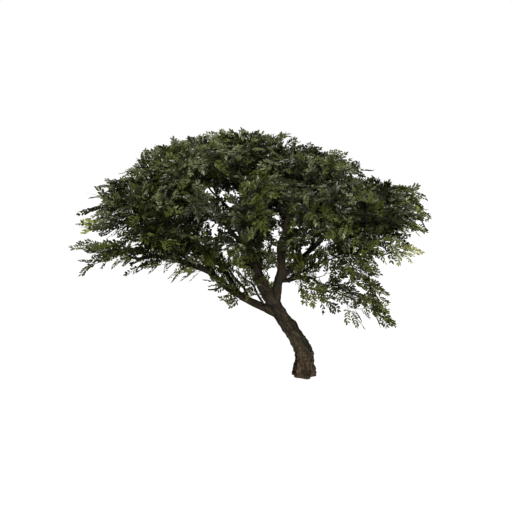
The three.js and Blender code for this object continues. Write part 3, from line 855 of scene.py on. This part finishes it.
# ---- Bark ----
def limb_radii(limb, share):
    """Radii of a limb at shares of its length: a root flare on the trunk, a collar on a bough."""
    if limb.name == "trunk":
        flare = FLARE * np.exp(-((share * TRUNK_HEIGHT / FLARE_HEIGHT) ** 2))
        crest = np.clip((share - CREST_START) / (1 - CREST_START), 0, CREST_END)
        foot, top = TRUNK_RADII
        return (foot + (top - foot) * share + flare) * np.sqrt(1 - crest**2)
    collar = COLLAR * np.exp(-((share * limb.line.length / (limb.radius * COLLAR_LENGTH)) ** 2))
    return limb.radius * (1 + collar) + (limb.tip_radius - limb.radius) * share


def skin_end(limb):
    """The share of a limb's length that is thick enough for furrowed skin."""
    if limb.name == "trunk":
        return 1.0
    return np.clip((limb.radius - LEAST_SKIN) / (limb.radius - limb.tip_radius), 0, 1)


def joined_tubes(limbs, spans, rings, sides):
    """Closed tubes along the given spans of limbs, in one mesh."""
    vertices, quads, caps = [], [], []
    first = 0
    for limb, (start, end) in zip(limbs, spans):
        share = np.linspace(start, end, rings)
        v, q, c = tubes(limb.line.at(share)[None], limb_radii(limb, share)[None], sides)
        vertices.append(v)
        quads.append(q + first)
        caps.append(c + first)
        first += len(v)
    return np.concatenate(vertices), [np.concatenate(quads), np.concatenate(caps)]


def numbers(items, name, width, kind):
    values = np.empty(len(items) * width, kind)
    items.foreach_get(name, values)
    return values.reshape(-1, width)


def skin_over(limbs):
    """One closed skin over the trunk and the thick boughs: places, faces of four corners, and edges."""
    spans = [(0, skin_end(limb)) for limb in limbs]
    vertices, faces = joined_tubes(limbs, spans, *SKIN_MESH)
    core = mesh_object("core", vertices, faces, None, True)
    remesh = core.modifiers.new("skin", "REMESH")
    remesh.mode = "VOXEL"
    remesh.voxel_size = VOXEL
    mesh = bpy.data.meshes.new_from_object(core.evaluated_get(bpy.context.evaluated_depsgraph_get()))
    places = numbers(mesh.vertices, "co", 3, np.float32).astype(float)
    corners = numbers(mesh.loops, "vertex_index", 1, np.int32).reshape(-1, 4)
    edges = numbers(mesh.edges, "vertices", 2, np.int32)
    bpy.data.objects.remove(core)
    return places, corners, edges


def smoothed(places, edges, share, smooth):
    """Each place drawn towards the middle of its neighbours, by its share of the given weight."""
    weight, rounds = smooth
    count = len(places)
    ends = np.concatenate((edges, edges[:, ::-1]))
    degree = np.bincount(ends[:, 0], minlength=count)
    for _ in range(rounds):
        sums = [np.bincount(ends[:, 0], places[ends[:, 1], i], count) for i in range(3)]
        places = places + (np.stack(sums, axis=1) / degree[:, None] - places) * (weight * share)[:, None]
    return places


def normals_of(places, corners):
    a, b, c, d = [places[corners[:, i]] for i in range(4)]
    across = np.cross(c - a, d - b)
    sums = [np.bincount(corners.ravel(), np.repeat(across[:, i], 4), len(places)) for i in range(3)]
    return unit(np.stack(sums, axis=1))


class Grain:
    """Where places lie on the limbs: which limb, how far along, at what angle, and how far from a fork."""

    def __init__(self, places, limbs):
        count = len(places)
        best, second = np.full(count, np.inf), np.full(count, np.inf)
        self.limb = np.zeros(count, int)
        self.along, self.angle = np.zeros(count), np.zeros(count)
        self.radius, self.girth = np.zeros(count), np.zeros(count)
        for number, limb in enumerate(limbs):
            share = np.linspace(0, 1, int(limb.line.length / GRAIN_STEP) + 2)
            centres, radii = limb.line.at(share), limb_radii(limb, share)
            ahead, side, over = [frame[0] for frame in frames_along(centres[None])]
            squares = (places**2).sum(1)[:, None] - 2 * places @ centres.T + (centres**2).sum(1)
            ratio = np.sqrt(np.maximum(squares, 0)) / radii
            near = ratio.argmin(axis=1)
            ratio = ratio[np.arange(count), near]
            mine = ratio < best
            second = np.where(mine, best, np.minimum(second, ratio))
            best = np.where(mine, ratio, best)
            out = places - centres[near]
            self.limb[mine] = number
            self.along[mine] = (share[near] * limb.line.length + (out * ahead[near]).sum(1))[mine]
            self.angle[mine] = np.arctan2((out * over[near]).sum(1), (out * side[near]).sum(1))[mine]
            self.radius[mine] = radii[near][mine]
            self.girth[mine] = radii[len(radii) // 2]
        self.clear = smoothstep(second - best, 0, CLEAR_OF_FORK)
        old = smoothstep(self.along / TRUNK_HEIGHT, *OLD_BARK)
        # this also darkens the bark's colour higher up the trunk and on the boughs, partly as painted shade
        self.age_and_shade = np.where(self.limb == 0, old, BOUGH_AGE * smoothstep(self.radius, *BOUGH_AGE_RADII))

    def coordinates(self, stretch):
        """Round the limb twice and along it, drawn out along the limb by stretch."""
        around = self.girth[:, None] * np.stack((np.cos(self.angle), np.sin(self.angle)), axis=1)
        along = self.along[:, None] / stretch
        return np.concatenate((around, along), axis=1) + self.limb[:, None] * LIMB_OFFSET


def noise_at(places, size):
    return np.array([noise.noise(Vector(p)) for p in places / size])


def waves(grain, pattern):
    """Noise over the limbs' surfaces, from -1 to 1."""
    size, stretch = pattern
    return noise_at(grain.coordinates(stretch), size)


def plates(places, size, crack):
    """0 in the cracks of a pattern of plates, and 1 on the plates."""
    return smoothstep(np.abs(noise_at(places, size)), 0, crack)


def furrows(grain):
    """The height of bark plates between cracks, from 0 to 1."""
    size, stretch = WIDE
    places = grain.coordinates(stretch) + waves(grain, WARP)[:, None] * size * WARP_SHARE
    wide = plates(places, size, WIDE_CRACK)
    fine = plates(places + FINE_OFFSET, size * FINE_SIZE, FINE_CRACK)
    size, stretch = BREAKS
    breaks = plates(grain.coordinates(stretch) + BREAK_OFFSET, size, BREAK_WIDTH)
    lengthwise = (1 - FINE_SHARE) * wide + FINE_SHARE * fine
    return lengthwise * (1 - BREAK_SHARE + BREAK_SHARE * breaks)


def trunk_lobes(grain):
    """Root lobes near the ground, uneven, as a share of the radius."""
    height = grain.along / LOBE_HEIGHT
    warp = waves(grain, LOBE_WARP)
    lobes = np.cos(FLUTES * grain.angle + warp * LOBE_BEND) + warp * LOBE_UNEVEN
    return np.where(grain.limb == 0, FLUTE_DEPTH * np.exp(-(height**2)) * lobes, 0)


def knobs(places, trunk):
    """Old branch scars and swellings on the trunk."""
    rise = np.zeros(len(places))
    for height, azimuth, size, out in KNOBS:
        share = height / TRUNK_HEIGHT
        at = trunk.line.at(share) + heading(azimuth, 0) * limb_radii(trunk, share)
        rise += out * np.exp(-((np.linalg.norm(places - at, axis=1) / size) ** 2))
    return rise


def paint_bark(piece, grain, relief):
    """Stores what the bark's material reads."""
    mesh = piece.data
    coordinates = mesh.attributes.new("grain", "FLOAT_VECTOR", "POINT")
    coordinates.data.foreach_set("vector", grain.coordinates(GRAIN_STRETCH).astype(np.float32).ravel())
    for name, values in (("relief", relief), ("age_and_shade", grain.age_and_shade)):
        mesh.attributes.new(name, "FLOAT", "POINT").data.foreach_set("value", values.astype(np.float32))


def rise_of(places, grain, relief, trunk):
    """How far the skin's places stand out from the limbs' plain surface."""
    age_share = YOUNG_DEPTH + (1 - YOUNG_DEPTH) * grain.age_and_shade
    fork_share = FORK_FURROWS + (1 - FORK_FURROWS) * grain.clear
    depth = np.minimum(FURROW_DEPTH, FURROW_SHARE * grain.radius) * age_share
    lumps = waves(grain, LUMPS) * LUMP_DEPTH * grain.age_and_shade
    muscle = waves(grain, MUSCLE) * MUSCLE_SHARE * grain.radius
    rise = (relief - RELIEF_MIDDLE) * depth * fork_share
    rise += lumps + muscle * grain.clear + trunk_lobes(grain) * grain.radius + knobs(places, trunk)
    return rise


def add_skin(limbs, material, cad_nodes):
    """The trunk and the thick boughs in one skin with the bark's relief."""
    thick = [limb for limb in limbs if skin_end(limb) > LEAST_SHARE]
    places, corners, edges = skin_over(thick)
    foot = places[:, 2] < FOOT_HEIGHT
    grain = Grain(places, thick)
    places = smoothed(places, edges, np.ones(len(places)), SKIN_SMOOTH)
    places = smoothed(places, edges, 1 - grain.clear, FORK_SMOOTH)
    relief = furrows(grain)
    places += normals_of(places, corners) * rise_of(places, grain, relief, limbs[0])[:, None]
    places[:, 2] = np.where(foot, 0, np.maximum(places[:, 2], ABOVE_FOOT))
    piece = mesh_object("trunk_and_boughs", places, [corners], material, True)
    paint_bark(piece, grain, relief)
    dress(piece, cad_nodes)


def add_thin_boughs(limbs, material, cad_nodes):
    """Plain tubes for thin boughs, and for the thin ends of the boughs that the skin covers."""
    thin = [limb for limb in limbs if skin_end(limb) < 1]
    starts = [skin_end(limb) if skin_end(limb) > LEAST_SHARE else 0 for limb in thin]
    spans = [(max(start - THIN_OVERLAP, 0), 1) for start in starts]
    vertices, faces = joined_tubes(thin, spans, *THIN_MESH)
    grain = Grain(vertices, thin)
    piece = mesh_object("thin_boughs", vertices, faces, material, True)
    paint_bark(piece, grain, furrows(grain))
    dress(piece, cad_nodes)


def add_stub(limbs, material):
    """The dead side branch, bare and broken off short."""
    start = limbs[STUB["on"]].line.at(STUB["at"])
    first, last = [heading(STUB["azimuth"], rise) * STUB["length"] for rise in STUB["rise"]]
    stub = Twig(start, start + first / 2, start + last, *STUB["radii"], 0, None)
    add_twigs("dead_stub_bark", [stub], *STUB_MESH, "bark", ["dead_stub"], material)


# ---- Stage ----
def add_camera():
    camera = bpy.data.objects.new("camera", bpy.data.cameras.new("camera"))
    camera.data.lens = LENS
    camera.data.clip_end = CAMERA_FAR
    e = math.radians(CAMERA_ELEVATION)
    back = Vector((0, -math.cos(e), math.sin(e)))
    camera.location = CAMERA_TARGET + back * CAMERA_DISTANCE
    camera.rotation_euler = (-back).to_track_quat("-Z", "Y").to_euler()
    bpy.context.scene.collection.objects.link(camera)
    bpy.context.scene.camera = camera


def add_lights():
    """Studio lights, each a sun of its own width, and a white surround that only the camera sees."""
    for name, azimuth, elevation, width, strength, colour in LIGHTS:
        light = bpy.data.lights.new(name, "SUN")
        light.angle = math.radians(width)
        light.energy = strength
        light.color = colour
        lamp = bpy.data.objects.new(name, light)
        lamp.rotation_euler = Vector(heading(azimuth, elevation)).to_track_quat("Z", "Y").to_euler()
        bpy.context.scene.collection.objects.link(lamp)
    world = bpy.data.worlds.new("studio")
    bpy.context.scene.world = world
    world.use_nodes = True
    world.node_tree.nodes["Background"].inputs["Color"].default_value = (1, 1, 1, 1)
    world.cycles_visibility.diffuse = False
    world.cycles_visibility.glossy = False
    bpy.context.scene.view_settings.view_transform = "Standard"


def add_floor():
    """A white floor that throws no light on the tree."""
    material = plain_material("floor", (0, 0, 0), 0.9, Emission_Color=(1, 1, 1, 1), Emission_Strength=1.0)
    corners = np.array([(-1, -1, 0), (1, -1, 0), (1, 1, 0), (-1, 1, 0)], float) * FLOOR_HALF
    floor = mesh_object("floor", corners, [np.array([(0, 1, 2, 3)])], material, False)
    floor.visible_diffuse = False
    floor.visible_glossy = False
    floor.visible_shadow = False


def grow_twigs(masses, rng):
    """Every mass's twigs, its whips, and the shoots on its bough."""
    rows = []
    for limb in masses:
        twigs = grow_mass(limb, masses, rng)
        rows.extend(twigs.rows + grow_whips(twigs, rng) + grow_shoots(limb, rng))
    return rows


def add_wood(limbs, masses, cad_nodes, young_shaded):
    bark = bark_material()
    add_skin(list(limbs.values()), bark, cad_nodes)
    add_thin_boughs(masses, bark, cad_nodes)
    add_stub(limbs, young_shaded)


def add_foliage(rows, rng, cad_nodes, young_shaded):
    """Leaves, and the twigs that carry them. A whip or shoot that no leaf found room on is left out."""
    places = leaf_places(rows, rng)
    leafy = set(places[-1])
    rows = [row for i, row in enumerate(rows) if row.limb or i in leafy]
    thick = [row for row in rows if row.level < len(ROUNDS)]
    thin = [row for row in rows if row.level == len(ROUNDS)]
    add_twigs("branchlets", thick, *BRANCHLET_MESH, "foliage", cad_nodes, young_shaded)
    add_twigs("twigs", thin, *TWIG_MESH, "foliage", cad_nodes, young_shaded)
    add_leaves(places, rng, cad_nodes)
    add_stalks(places, cad_nodes, young_shaded)


def main():
    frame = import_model()
    add_camera()
    rng = np.random.default_rng(SEED)
    limbs = grow_limbs()
    masses = [limb for name, limb in limbs.items() if name != "trunk"]
    foliage = [name for name in frame["nodes"] if name.startswith("foliage")]
    wood = [name for name in frame["nodes"] if name.startswith(("trunk", "bough"))]
    young_shaded = twig_material()
    rows = grow_twigs(masses, rng)
    add_wood(limbs, masses, wood, young_shaded)
    add_foliage(rows, rng, foliage, young_shaded)
    add_lights()
    add_floor()


main()
